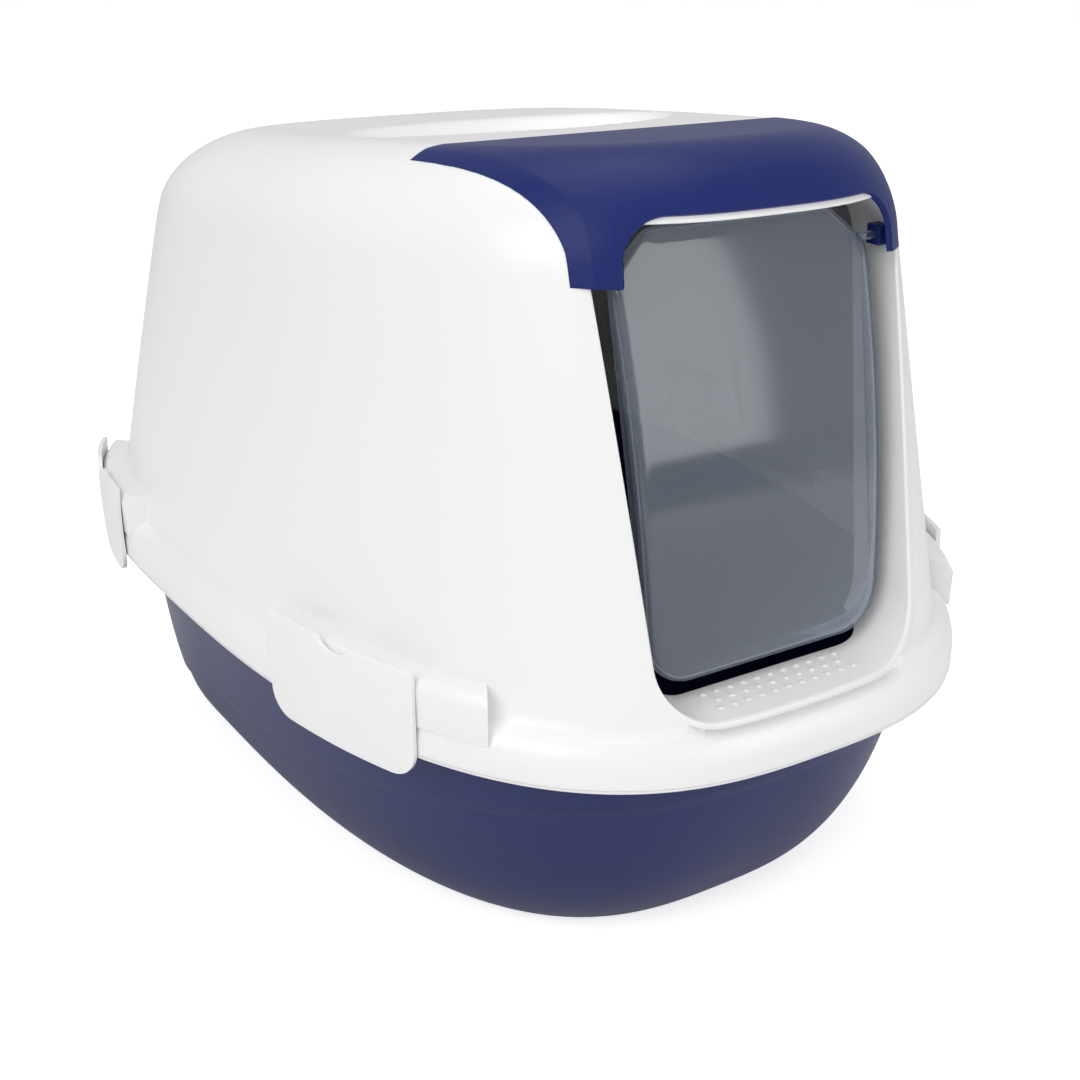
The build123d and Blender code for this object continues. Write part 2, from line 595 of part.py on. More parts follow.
def clip(angle):
    outer = -CLIP_GAP - CLIP_WALL
    plate = stack([rim_wire(CLIP_FOOT_Z, outer), rim_wire(CLIP_TOP_Z, outer)])
    plate = plate & clip_block(angle, CLIP_LENGTH / 2, CLIP_LENGTH / 2, CLIP_FOOT_Z, CLIP_TOP_Z,
                               CLIP_CORNER)
    tan_slope = tan(radians(CLIP_HOOK_SLOPE))
    lift = CLIP_HOOK_CLEARANCE / cos(radians(CLIP_HOOK_SLOPE))
    face = -CLIP_GAP + BOSS_CLEARANCE

    def hook_z(inset):
        return BOSS_TOP_Z - (face + BOSS_CHAMFER - inset) * tan_slope + lift
    tip = CLIP_HOOK - CLIP_GAP
    inside = stack([rim_wire(CLIP_FOOT_Z - 1, -CLIP_GAP), rim_wire(hook_z(-CLIP_GAP), -CLIP_GAP),
                    rim_wire(hook_z(tip), tip), rim_wire(CLIP_TOP_Z + 1, tip)])
    plate = plate - inside
    frame = clip_frame(angle)
    notch = frame * Pos(0, 0, CLIP_TOP_Z + FINGER_NOTCH_RADIUS - FINGER_NOTCH_DEPTH) * Rot(
        0, 90, 0) * Cylinder(FINGER_NOTCH_RADIUS, 60)
    plate = plate - notch
    u = -CLIP_PIVOT_INSET
    for side in (-1, 1):
        middle = side * CLIP_ARM_SPACING
        arm = Pos(u, middle, CLIP_PIVOT_Z) * Box(
            CLIP_PIVOT_INSET + CLIP_GAP + 1, CLIP_ARM_WIDTH, 2 * CLIP_KNUCKLE_RADIUS,
            align=(Align.MIN, Align.CENTER, Align.CENTER))
        knuckle = Pos(u, middle, CLIP_PIVOT_Z) * Rot(90, 0, 0) * Cylinder(
            CLIP_KNUCKLE_RADIUS, CLIP_ARM_WIDTH)
        length = CLIP_ARM_WIDTH / 2 + CLIP_SIDE_CLEARANCE + LUG_WIDTH + 1
        pin = Pos(u, middle, CLIP_PIVOT_Z) * Rot(-90 * side, 0, 0) * Cylinder(
            CLIP_PIN_RADIUS, length, align=(Align.CENTER, Align.CENTER, Align.MIN))
        plate = plate + frame * (arm + knuckle + pin)
    return plate


# Odour filter

def filter_pieces():
    """The holder that snaps under the recess, and the pad that lies in it."""
    top = RECESS_FLOOR_Z - HOOD_WALL
    inner_length = 2 * (FILTER_HALF_LENGTH + FILTER_CLEARANCE)
    inner_width = 2 * (FILTER_HALF_WIDTH + FILTER_CLEARANCE)
    depth = FILTER_THICKNESS + FILTER_CLEARANCE
    box = Pos(0, RECESS_Y, top) * Box(inner_length + 2 * HOLDER_WALL, inner_width + 2 * HOLDER_WALL,
                                      depth + HOLDER_WALL,
                                      align=(Align.CENTER, Align.CENTER, Align.MAX))
    room = Pos(0, RECESS_Y, top) * Box(inner_length, inner_width, depth,
                                       align=(Align.CENTER, Align.CENTER, Align.MAX))
    pitch = inner_length / HOLDER_BARS
    gaps = [Pos((i - (HOLDER_BARS - 1) / 2) * pitch, RECESS_Y, top - depth) * Box(
        pitch - HOLDER_WALL, inner_width - HOLDER_WALL, 4 * HOLDER_WALL)
        for i in range(HOLDER_BARS)]
    holder = box - [room] - gaps
    for side in (-1, 1):
        tab = Pos(side * SNAP_X, RECESS_Y, top - HOLDER_WALL) * Box(
            SNAP_TAB_THICKNESS, SNAP_SLOT_WIDTH - 2 * SNAP_CLEARANCE,
            HOLDER_WALL + HOOD_WALL + SNAP_TAB_RISE,
            align=(Align.CENTER, Align.CENTER, Align.MIN))
        holder = holder + tab
    pad = Pos(0, RECESS_Y, top - depth) * Box(
        2 * FILTER_HALF_LENGTH, 2 * FILTER_HALF_WIDTH, FILTER_THICKNESS,
        align=(Align.CENTER, Align.CENTER, Align.MIN))
    return holder, pad


def write(name, shape):
    solids = shape.solids()
    export_step(solids[0] if len(solids) == 1 else Compound(solids), "parts/" + name + ".step")
    print(name, len(solids), "solid", round(sum(s.volume for s in solids) / 1000, 1), "cm3")


write("base_pan", base_pan())
write("hood", hood())
write("visor", visor())
write("swing_door", swing_door())
holder, pad = filter_pieces()
write("filter_holder", holder)
write("filter_pad", pad)
for name, angle, run in CLIP_STATIONS:
    piece = clip(angle)
    write("clip_" + name + "_right", piece)
    write("clip_" + name + "_left", mirror_x(piece))
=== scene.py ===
import math

import bpy
import numpy as np
from mathutils import Matrix, Vector


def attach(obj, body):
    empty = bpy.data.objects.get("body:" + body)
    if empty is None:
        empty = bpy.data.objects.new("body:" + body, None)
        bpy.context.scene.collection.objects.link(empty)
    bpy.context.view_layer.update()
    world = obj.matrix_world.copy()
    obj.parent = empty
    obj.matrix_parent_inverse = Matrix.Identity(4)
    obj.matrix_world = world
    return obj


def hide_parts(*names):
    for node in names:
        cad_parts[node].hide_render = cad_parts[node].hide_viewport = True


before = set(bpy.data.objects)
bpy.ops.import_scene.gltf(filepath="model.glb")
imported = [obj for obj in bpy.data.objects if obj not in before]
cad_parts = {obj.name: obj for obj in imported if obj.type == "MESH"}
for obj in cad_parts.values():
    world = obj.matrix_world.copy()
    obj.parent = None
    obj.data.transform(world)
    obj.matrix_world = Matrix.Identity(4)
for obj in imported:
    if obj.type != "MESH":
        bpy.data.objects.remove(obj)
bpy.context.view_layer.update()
MM = 0.001


# The base pan: a deep rounded tub of navy polypropylene, moulded in one shot. Its wall has a
# faint ledge where the belly meets an upper band, and it ends in a flat rim with a turned
# down lip, which the hood's skirt covers.
LENGTH = 560.0
HALF_WIDTH = 208.0
WIDEST_Y = 36.0
TAPER = 0.0003
FRONT_POWER = 2.76
REAR_POWER = 3.18
PAN_FLOOR_HALF_WIDTH = 158.0
PAN_FLOOR_FRONT_Y = -188.0
PAN_FLOOR_REAR_Y = 245.0
PAN_FLOOR_WIDEST_Y = 137.0
PAN_FLOOR_POWER = 2.96
PAN_FLOOR_EDGE = 0.985
PAN_FLOOR_TOP_Z = 3.2
PAN_BELLY_POWER = 1.66
PAN_BELLY_TOP_Z = 127.0
PAN_BELLY_INSET = 23.0
PAN_WALL = 4.4
PAN_LEDGE = 1.4
PAN_LEDGE_FRONT_Z = 114.0
PAN_LEDGE_REAR_Z = 4.0
PAN_RIM_Z = 140.0
TURNS = 460
BELLY_ROWS, BAND_ROWS, INSIDE_ROWS = 34, 30, 30
LEDGE_START, LEDGE_ROUNDS = 0.8, 30

# How far the wall has moved out at each rise above the ledge, as (rise, inset), and the rim's
# section from the wall's outside over the turned down lip to its inside, as (z, inset).
LEDGE_PROFILE = ((0.25, 1.1), (0.7, 0.45), (1.3, 0.12), (2.0, 0.0))
RIM_PROFILE = ((133.0, 19.2), (136.2, 16.9), (137.0, 15.0), (137.0, 6.8), (136.6, 6.4), (134.3, 6.4),
               (134.0, 6.1), (134.0, 4.3), (134.3, 4.0), (139.4, 4.0), (139.8, 4.2), (PAN_RIM_Z, 4.6),
               (PAN_RIM_Z, 14.4), (139.7, 15.2), (138.8, 15.9), (134.0, 20.5))


def egg(turn, half_width, front, rear, widest=WIDEST_Y, front_power=FRONT_POWER,
        rear_power=REAR_POWER):
    """A point of the egg shaped plan at each polar angle about the widest line: a
    superellipse |x/a|^p + |y/b|^p = 1 whose front and rear halves have their own b and p,
    narrowed in proportion to the distance in front of the widest line."""
    c, s = np.cos(turn), np.sin(turn)
    reach = np.where(s < 0, widest - front, rear - widest)
    power = np.where(s < 0, front_power, rear_power)
    radius = (np.abs(c / half_width) ** power + np.abs(s / reach) ** power) ** (-1 / power)
    y = widest + radius * s
    return radius * c * (1 + TAPER * (y - widest)), y


def rim_loop(turn, inset):
    """The rim's own plan, drawn in by inset all round."""
    return egg(turn, HALF_WIDTH - inset, inset - LENGTH / 2, LENGTH / 2 - inset)


def level_ring(turn, inset, z):
    """The rim's plan, drawn in by inset, as a level ring of points at height z."""
    x, y = rim_loop(turn, inset)
    return np.stack([x, y, np.full_like(x, z)], -1)


def grid_faces(rows, columns, around=True):
    """Quads that join a grid of rows by columns; around closes each row on itself."""
    i = np.arange(rows - 1)[:, None] * columns
    j = np.arange(columns if around else columns - 1)[None, :]
    k = (j + 1) % columns
    return np.stack([i + j, i + k, i + k + columns, i + j + columns], -1).reshape(-1, 4)


def add_mesh(name, points, faces, body, smooth=True):
    """A new piece from millimetre points and faces, riding on its body."""
    mesh = bpy.data.meshes.new(name)
    faces = faces if isinstance(faces, list) else faces.tolist()
    mesh.from_pydata((np.asarray(points).reshape(-1, 3) * MM).tolist(), [], faces)
    mesh.polygons.foreach_set("use_smooth", [smooth] * len(mesh.polygons))
    mesh.update()
    piece = bpy.data.objects.new(name, mesh)
    bpy.context.scene.collection.objects.link(piece)
    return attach(piece, body)


def closed_rings(points):
    """Faces of a stack of rings, with a fan over the first and the last one."""
    rows, columns = points.shape[:2]
    faces = grid_faces(rows, columns).tolist()
    flat = points.reshape(-1, 3)
    ends = np.array([points[0].mean(0), points[-1].mean(0)])
    ring = np.arange(columns)
    after = (ring + 1) % columns
    low, high = rows * columns, rows * columns + 1
    last = (rows - 1) * columns
    faces += np.stack([after, ring, np.full(columns, low)], -1).tolist()
    faces += np.stack([last + ring, last + after, np.full(columns, high)], -1).tolist()
    return np.concatenate([flat, ends]), faces


def pan_row(turn, share, inset, floor_z):
    """A level of the belly. share runs 0 to 1 from the floor to the belly's top; the plan
    swells from the floor's egg to the rim's along a superellipse arc."""
    swell = (1 - (1 - share) ** PAN_BELLY_POWER) ** (1 / PAN_BELLY_POWER)
    top = PAN_BELLY_INSET + inset

    def blend(low, high):
        return low + (high - low) * swell
    x, y = egg(turn, blend(PAN_FLOOR_HALF_WIDTH - inset, HALF_WIDTH - top),
               blend(PAN_FLOOR_FRONT_Y + inset, top - LENGTH / 2),
               blend(PAN_FLOOR_REAR_Y - inset, LENGTH / 2 - top),
               blend(PAN_FLOOR_WIDEST_Y, WIDEST_Y),
               blend(PAN_FLOOR_POWER, FRONT_POWER), blend(PAN_FLOOR_POWER, REAR_POWER))
    return x, y, 0.0 * turn + floor_z + (PAN_BELLY_TOP_Z - floor_z) * share


around = np.linspace(0, 2 * math.pi, TURNS, endpoint=False)
ledge = np.full(TURNS, LEDGE_START)
for _ in range(LEDGE_ROUNDS):
    fall = (pan_row(around, ledge, 0.0, 0.0)[1] + LENGTH / 2) / LENGTH
    ledge_z = PAN_LEDGE_FRONT_Z + (PAN_LEDGE_REAR_Z - PAN_LEDGE_FRONT_Z) * fall
    ledge = np.clip(0.5 * ledge + 0.5 * ledge_z / PAN_BELLY_TOP_Z, 0.01, 0.97)
outside = [np.stack(pan_row(around, ledge * share, PAN_LEDGE, 0.0), -1)
           for share in np.linspace(0, 1, BELLY_ROWS) ** 1.5]
for rise, inset in LEDGE_PROFILE:
    outside.append(np.stack(pan_row(around, ledge + rise / PAN_BELLY_TOP_Z, inset, 0.0), -1))
top = ledge + LEDGE_PROFILE[-1][0] / PAN_BELLY_TOP_Z
outside += [np.stack(pan_row(around, top + (1 - top) * share, 0.0, 0.0), -1)
            for share in np.linspace(0.04, 1, BAND_ROWS)]
outside[0][:, :2] *= PAN_FLOOR_EDGE
rim_rows = [level_ring(around, inset, z) for z, inset in RIM_PROFILE]
inside = [np.stack(pan_row(around, share, PAN_WALL, PAN_FLOOR_TOP_Z), -1)
          for share in np.linspace(1, 0, INSIDE_ROWS) ** 1.6]
points, faces = closed_rings(np.stack(outside + rim_rows + inside))
base_pan = add_mesh("base_pan_tub", points, faces, "pan")
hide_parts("base_pan")


class Sum:
    """A shader value; an operator on it adds the Math node that works it out."""

    def __init__(self, board, socket):
        self.board = board
        self.socket = socket

    def _math(self, operation, a, b):
        return self.board.node("ShaderNodeMath", {"operation": operation}, {0: a, 1: b})

    def __add__(self, other):
        return self._math("ADD", self, other)

    def __radd__(self, other):
        return self._math("ADD", other, self)

    def __rmul__(self, other):
        return self._math("MULTIPLY", other, self)


class Finish:
    """A procedural material on Object coordinates, written as expressions on its values."""

    def __init__(self, material):
        material.use_nodes = True
        self.material = material
        self.tree = material.node_tree
        self.tree.nodes.clear()
        self.place = self.node("ShaderNodeTexCoord", {}, {}, "Object")

    def node(self, kind, settings, inputs, output=0):
        made = self.tree.nodes.new(kind)
        for key, value in settings.items():
            if key == "stops":
                ramp = made.color_ramp
                for stop, (at, colour) in zip((ramp.elements[0], ramp.elements[1]), value):
                    stop.position = at
                    stop.color = colour
            else:
                setattr(made, key, value)
        for key, value in inputs.items():
            if isinstance(value, Sum):
                self.tree.links.new(value.socket, made.inputs[key])
            else:
                made.inputs[key].default_value = value
        return Sum(self, made.outputs[output])

    def noise(self, scale, detail=2.0, roughness=0.5):
        return self.node("ShaderNodeTexNoise", {}, {"Vector": self.place, "Scale": scale,
                                                    "Detail": detail, "Roughness": roughness})

    def tint(self, low, high, amount):
        return self.node("ShaderNodeMix", {"data_type": "RGBA"},
                         {0: amount, 6: (*low, 1.0), 7: (*high, 1.0)}, 2)

    def bump(self, height, strength, distance):
        return self.node("ShaderNodeBump", {}, {"Height": height, "Strength": strength,
                                                "Distance": distance})

    def surface(self, **sockets):
        named = {key.replace("_", " "): value for key, value in sockets.items()}
        return self.close(self.node("ShaderNodeBsdfPrincipled", {}, named))

    def close(self, shader, kind="ShaderNodeOutputMaterial"):
        sheet = self.tree.nodes.new(kind)
        self.tree.links.new(shader.socket, sheet.inputs["Surface"])
        return self.material


def paint(piece, material):
    piece.data.materials.clear()
    piece.data.materials.append(material)


GRAIN_DEPTH = 0.0002


def moulded(name, low, high, clouds, roughness, spread, grains, strength, gloss=0.5):
    """Moulded polypropylene: its colour wanders between low and high and its roughness over
    the spread in soft clouds, under a very fine grain. clouds and grains are counts a metre."""
    finish = Finish(bpy.data.materials.new(name))
    cloud = finish.noise(clouds, 3.0)
    grain = finish.noise(grains, 2.0)
    return finish.surface(
        Base_Color=finish.tint(low, high, cloud),
        Roughness=roughness + spread * cloud,
        Specular_IOR_Level=gloss,
        Normal=finish.bump(grain, strength, GRAIN_DEPTH))


paint(base_pan, moulded("navy_polypropylene", (0.013, 0.020, 0.098), (0.018, 0.026, 0.118),
                        9.0, 0.30, 0.08, 900.0, 0.10, gloss=0.38))


# The hood: a white polypropylene shell, moulded in one shot and held down by four clips. Its
# skirt drops over the pan's rim, turns into a rounded flange and rises as a leaning wall to a
# rounded roof with a dished recess in it. Triples are for its sides, front and rear.
RIM_Z = 132.0
SKIRT_TOP_Z = 141.0
WALL_FOOT_Z = 158.0
ROOF_Z = 397.0
ROOF_Y = -102.0
ROOF_SLOPE = 0.079
FOOT_INSETS = (9.5, 13.0, 14.5)
DRAFTS = (0.187, 0.203, 0.152)
ROOF_RADII = (46.0, 42.0, 65.0)
HOOD_HEIGHT = ROOF_Z - WALL_FOOT_Z
HOOD_WALL = 2.8
RECESS_Y = 5.0
RECESS_LIP = (104.0, 60.0)
RECESS_FLOOR = (84.0, 42.0)
RECESS_FLOOR_Z = 377.0
WALL_ROWS, SHOULDER_ROWS, ROOF_ROWS = 30, 26, 30
SKIRT_PROFILE = ((134.5, 2.6), (132.6, 2.2), (RIM_Z, 1.5), (132.1, 0.8), (132.7, 0.2), (133.6, 0.0),
                 (137.0, 0.0), (139.6, 0.0))


def hood_sizes(height, inset=0.0):
    """Half width, front and rear of the hood's plan at a height above the wall's foot: the
    draft draws the wall in, and near the roof a quarter circle of each side's radius does."""
    def rounding(radius):
        left = radius - inset
        rise = np.clip((height - (HOOD_HEIGHT - radius)) / left, 0, 1)
        return left * (1 - np.sqrt(1 - rise ** 2))
    side, front, rear = (foot + draft * height + inset + rounding(radius)
                         for foot, draft, radius in zip(FOOT_INSETS, DRAFTS, ROOF_RADII))
    return HALF_WIDTH - side, front - LENGTH / 2, LENGTH / 2 - rear


def roof_tilt(height):
    """How fast the level falls towards the rear, growing as the square of the height."""
    return ROOF_SLOPE * (np.clip(height, 0, None) / HOOD_HEIGHT) ** 2


def hood_ring(turn, height, shrink=1.0):
    """A level of the wall or roof. shrink draws the roof's last ring in towards its middle."""
    half, front, rear = hood_sizes(height)
    x, y = egg(turn, half * shrink, WIDEST_Y + (front - WIDEST_Y) * shrink,
               WIDEST_Y + (rear - WIDEST_Y) * shrink)
    z = WALL_FOOT_Z + height - roof_tilt(height) * (y - ROOF_Y)
    return np.stack([x, y, z], -1)


def ellipse_reach(x, y, axes):
    """How far out a point lies, as a share of the ellipse about the recess."""
    return np.sqrt((x / axes[0]) ** 2 + ((y - RECESS_Y) / axes[1]) ** 2)


def dish(ring):
    """Lowers the roof into the recess: level at the lip's ellipse, flat floor inside the
    floor's ellipse, and an eased slope between the two."""
    x, y, z = ring[..., 0], ring[..., 1], ring[..., 2]
    lip, floor = ellipse_reach(x, y, RECESS_LIP), ellipse_reach(x, y, RECESS_FLOOR)
    between = np.maximum(floor / np.maximum(lip, 1e-6) - 1, 1e-6)
    share = np.clip((floor - 1) / between, 0, 1)
    eased = share ** 2 * (3 - 2 * share)
    ring[..., 2] = RECESS_FLOOR_Z + (z - RECESS_FLOOR_Z) * eased
    return ring


rings = [level_ring(around, inset, z) for z, inset in SKIRT_PROFILE]
flange_rise = WALL_FOOT_Z - 0.6 - SKIRT_TOP_Z
for angle in np.radians(np.arange(4, 87, 6)):
    side, front, rear = (foot * (1 - np.cos(angle)) for foot in FOOT_INSETS)
    x, y = egg(around, HALF_WIDTH - side, front - LENGTH / 2, LENGTH / 2 - rear)
    rings.append(np.stack([x, y, np.full(TURNS, SKIRT_TOP_Z + flange_rise * np.sin(angle))], -1))
shoulder = HOOD_HEIGHT - ROOF_RADII[2]
for height in np.linspace(0.8, shoulder, WALL_ROWS):
    rings.append(hood_ring(around, height))
for angle in np.radians(np.linspace(2.5, 90.0, SHOULDER_ROWS)):
    rings.append(hood_ring(around, shoulder + (HOOD_HEIGHT - shoulder) * np.sin(angle)))
for shrink in np.linspace(0.975, 0.02, ROOF_ROWS):
    rings.append(dish(hood_ring(around, HOOD_HEIGHT, shrink)))
skin = np.stack(rings)
faces = grid_faces(*skin.shape[:2])

# The seat of the visor: the skin steps in under it by VISOR_SEAT, which starts a little inside
# the visor's outline and eases in over a short stretch. Pairs are a half width and its y.
VISOR_REAR, VISOR_FRONT = (116.0, -98.0), (94.0, -197.0)
VISOR_FOOT_Z = 350.0
ARCH_HALF, ARCH_TOP_Z, ARCH_RADIUS = 76.5, 379.0, 22.0
VISOR_WALL = 3.0
VISOR_PROUD, VISOR_SIDE_PROUD = 0.1, 1.5
VISOR_EDGE = 7.0
VISOR_SEAT, SEAT_START, SEAT_EASE = 3.0, 1.5, 3.0


def visor_half(y):
    """Half the visor's width at y: it widens evenly from its legs to its rear edge."""
    share = np.clip((y - VISOR_FRONT[1]) / (VISOR_REAR[1] - VISOR_FRONT[1]), 0, 1)
    return VISOR_FRONT[0] + (VISOR_REAR[0] - VISOR_FRONT[0]) * share


def visor_low(x):
    """The height of the visor's lower edge: the arch over the entry, or the legs' feet."""
    over = np.clip(np.abs(x) - (ARCH_HALF - ARCH_RADIUS), 0, ARCH_RADIUS)
    arch = ARCH_TOP_Z - ARCH_RADIUS + np.sqrt(np.maximum(ARCH_RADIUS ** 2 - over ** 2, 0))
    return np.where(np.abs(x) < ARCH_HALF, arch, VISOR_FOOT_Z)


facing = np.cross(np.roll(skin, -1, 1) - np.roll(skin, 1, 1), np.gradient(skin, axis=0))
facing /= np.linalg.norm(facing, axis=-1, keepdims=True)
covered = np.minimum(visor_half(skin[..., 1]) - np.abs(skin[..., 0]), VISOR_REAR[1] - skin[..., 1])
covered = np.minimum(covered, skin[..., 2] - visor_low(skin[..., 0]))
dip = np.clip((covered - SEAT_START) / SEAT_EASE, 0, 1)
skin -= facing * (VISOR_SEAT * dip ** 2 * (3 - 2 * dip))[..., None]


def both_sides(right):
    """A closed outline of (x, z, radius) corners from its right half, given from foot to top."""
    return right + tuple((-x, z, radius) for x, z, radius in reversed(right))


def rounded(corners, steps):
    """A closed outline through corners (x, z, radius): each corner becomes an arc that is
    tangent to both of its sides."""
    path = []
    for i, (x, z, radius) in enumerate(corners):
        here = np.array((x, z))
        before = np.array(corners[i - 1][:2]) - here
        after = np.array(corners[(i + 1) % len(corners)][:2]) - here
        before, after = before / np.hypot(*before), after / np.hypot(*after)
        half = math.acos(float(before @ after)) / 2
        centre = here + (before + after) / np.hypot(*(before + after)) * radius / math.sin(half)
        start = here + before * radius / math.tan(half) - centre
        end = here + after * radius / math.tan(half) - centre
        swing = math.atan2(start[0] * end[1] - start[1] * end[0], float(start @ end))
        turn = math.atan2(start[1], start[0]) + np.linspace(0, swing, steps)
        path.append(centre + radius * np.stack([np.cos(turn), np.sin(turn)], -1))
    return np.concatenate(path)


def evenly(path, count):
    """The closed path resampled to count points at equal distances."""
    loop = np.concatenate([path, path[:1]])
    along = np.concatenate([[0], np.cumsum(np.hypot(*np.diff(loop, axis=0).T))])
    at = np.linspace(0, along[-1], count, endpoint=False)
    return np.stack([np.interp(at, along, loop[:, k]) for k in (0, 1)], -1)


def front_y(x, z):
    """Where the hood's front stands over a point (x, z) of the front view: the plan of that
    level solved for y, with the roof's tilt and the taper settled by a few rounds."""
    y = np.full_like(x, -230.0)
    for _ in range(8):
        height = z - WALL_FOOT_Z
        for _ in range(3):
            height = z - WALL_FOOT_Z + roof_tilt(height) * (y - ROOF_Y)
        half, front, _rear = hood_sizes(height)
        across = np.clip(np.abs(x) / (1 + TAPER * (y - WIDEST_Y)) / half, 0, 0.9999)
        y = WIDEST_Y - (WIDEST_Y - front) * (1 - across ** FRONT_POWER) ** (1 / FRONT_POWER)
    return y


# The entry, seen from the front. The skin ends a little outside it, under the frame's lip.
SILL_Z, SILL_REAR_Y = 157.0, -233.0
ENTRY = both_sides(((76.0, SILL_Z, 30.0), (88.0, 375.0, 22.0)))
ENTRY_POINTS = 420
ENTRY_MARGIN = 3.0
PIVOT_Y, PIVOT_Z = -200.0, 355.0
DOOR_TILT = math.radians(11.3)
REVEAL_DEPTH = 24.0
entry = evenly(rounded(ENTRY, 16), ENTRY_POINTS)


def outward(outline):
    """The unit normals of a closed outline that runs anticlockwise in the front view."""
    along = np.roll(outline, -1, 0) - np.roll(outline, 1, 0)
    along /= np.hypot(*along.T)[:, None]
    return np.stack([along[:, 1], -along[:, 0]], -1)


entry_cut = entry + outward(entry) * ENTRY_MARGIN


def beside(points, outline):
    """For each (x, z): the nearest outline point, and whether it lies inside the outline."""
    gap = points[:, None, :] - outline[None, :, :]
    nearest = np.argmin((gap ** 2).sum(-1), 1)
    a, b = outline, np.roll(outline, -1, 0)
    x, z = points[:, None, 0], points[:, None, 1]
    crosses = (a[:, 1] > z) != (b[:, 1] > z)
    rise = np.where(b[:, 1] == a[:, 1], 1e-9, b[:, 1] - a[:, 1])
    left = x < a[:, 0] + (z - a[:, 1]) / rise * (b[:, 0] - a[:, 0])
    return nearest, (crosses & left).sum(1) % 2 == 1


# Only the points near the entry are tested against it: half width, rear, foot and top.
NEAR_HALF, NEAR_REAR_Y, NEAR_FOOT_Z, NEAR_TOP_Z = 112, -110, 150, 388
flat = skin.reshape(-1, 3).copy()
near = np.nonzero((flat[:, 1] < NEAR_REAR_Y) & (flat[:, 2] > NEAR_FOOT_Z)
                  & (np.abs(flat[:, 0]) < NEAR_HALF) & (flat[:, 2] < NEAR_TOP_Z))[0]
nearest, inside_entry = beside(flat[near][:, [0, 2]], entry_cut)
hidden = np.zeros(len(flat), bool)
hidden[near[inside_entry]] = True
close = np.full(len(flat), -1)
close[near] = nearest
gone = hidden[faces].all(1)
FLOOR_HOLE, ABOVE_WALL_Z = 0.99, 360
oval_reach = ellipse_reach(flat[:, 0], flat[:, 1], RECESS_FLOOR)
gone |= ((oval_reach < FLOOR_HOLE) & (flat[:, 2] > ABOVE_WALL_Z))[faces].all(1)
edge = np.unique(faces[~gone][hidden[faces[~gone]].any(1)])
edge = edge[hidden[edge]]
flat[edge, 0], flat[edge, 2] = entry_cut[close[edge]].T
flat[edge, 1] = front_y(flat[edge, 0], flat[edge, 2])
faces = faces[~gone]
kept, index = np.unique(faces, return_inverse=True)
points, faces = flat[kept], index.reshape(faces.shape)


def thicken(piece, wall):
    """Gives a sheet its wall, behind the side that its faces look out of."""
    shell = piece.modifiers.new("wall", "SOLIDIFY")
    shell.thickness = wall * MM
    shell.offset = -1.0


hood_shell = add_mesh("hood_shell", points, faces, "hood")
thicken(hood_shell, HOOD_WALL)
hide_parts("hood")


# The entry's frame: the shell turns in round the opening as a smooth reveal with a rounded
# lip, and runs back as a sill at the foot, where a short lip hangs down behind it.
SILL_EASE = 9.0


def reveal_back(z):
    """How far back the frame runs: a plane that leans with the door, short at the sill."""
    leaning = PIVOT_Y + REVEAL_DEPTH - (PIVOT_Z - z) * math.tan(DOOR_TILT)
    low = np.clip((z - SILL_Z) / SILL_EASE, 0, 1) ** 2
    return SILL_REAR_Y + (leaning - SILL_REAR_Y) * low


# The lip's section, as (distance outside the entry, depth behind the hood's skin).
REVEAL_LIP = ((0.0, 1.8), (0.3, 0.55), (0.9, 0.05), (1.8, -0.12), (6.4, -0.12), (7.6, 0.5),
              (2.6, 3.2))
REVEAL_WALL = 2.6
normal = outward(entry)
back_y = reveal_back(entry[:, 1])
band = [np.stack([entry[:, 0], back_y, entry[:, 1]], -1)]
for outside_entry, behind in REVEAL_LIP:
    spot = entry + normal * outside_entry
    skin_y = front_y(spot[:, 0], spot[:, 1])
    band.append(np.stack([spot[:, 0], np.minimum(skin_y + behind, back_y), spot[:, 1]], -1))
spot = entry + normal * REVEAL_WALL
band.append(np.stack([spot[:, 0], back_y, spot[:, 1]], -1))
band.append(band[0])
band = np.stack(band)
entry_frame = add_mesh("entry_frame", band, grid_faces(*band.shape[:2])[:, ::-1], "hood")


def box_mesh(low, high):
    """The eight corners and six faces of a box."""
    corner = np.array([(x, y, z) for z in (0, 1) for y in (0, 1) for x in (0, 1)])
    faces = [(0, 2, 3, 1), (4, 5, 7, 6), (0, 1, 5, 4), (2, 6, 7, 3), (0, 4, 6, 2), (1, 3, 7, 5)]
    return np.array(low) + corner * (np.array(high) - np.array(low)), faces


def soften(piece, width, segments=3):
    """Rounds a piece's sharp edges."""
    bevel = piece.modifiers.new("soft_edges", "BEVEL")
    bevel.width = width * MM
    bevel.segments = segments
    bevel.limit_method = "ANGLE"
    bevel.angle_limit = math.radians(38)


SILL_LIP_HALF, SILL_LIP_FOOT_Z, SILL_LIP_TOP_Z = 46, 148, 156.6
sill_lip = add_mesh("sill_lip", *box_mesh((-SILL_LIP_HALF, SILL_REAR_Y - REVEAL_WALL, SILL_LIP_FOOT_Z),
                                          (SILL_LIP_HALF, SILL_REAR_Y, SILL_LIP_TOP_Z)),
                    "hood", smooth=False)

